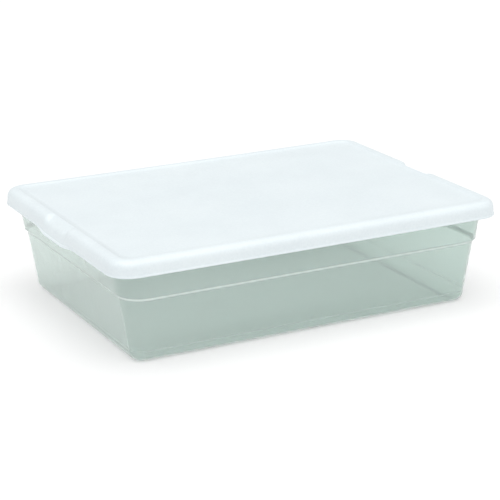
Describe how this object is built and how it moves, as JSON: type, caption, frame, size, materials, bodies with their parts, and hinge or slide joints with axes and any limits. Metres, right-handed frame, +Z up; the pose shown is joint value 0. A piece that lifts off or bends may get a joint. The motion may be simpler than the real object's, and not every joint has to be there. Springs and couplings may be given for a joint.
{
  "type": "under bed storage box",
  "caption": "Shallow rectangular see-through storage box with drafted walls and a recessed white lid that clips over its rim, low enough to slide under a bed.",
  "frame": {"origin": "on the floor, under the centre of the box", "axes": "+X along the long side, +Y to the back, +Z up, the way the lid lifts off"},
  "size_m": [0.5772, 0.413, 0.147],
  "materials": {
    "tub_plastic": "satin, milky see-through",
    "lid_plastic": "satin white, fine stipple on the panel"
  },
  "bodies": {
    "tub": {"tub": "tub_plastic"},
    "lid": {"lid": "lid_plastic"}
  },
  "joints": [
    {"name": "lid_lift", "type": "slide", "parent": "tub", "child": "lid", "axis": [0, 0, 1], "range_m": [0, 0.16]}
  ]
}
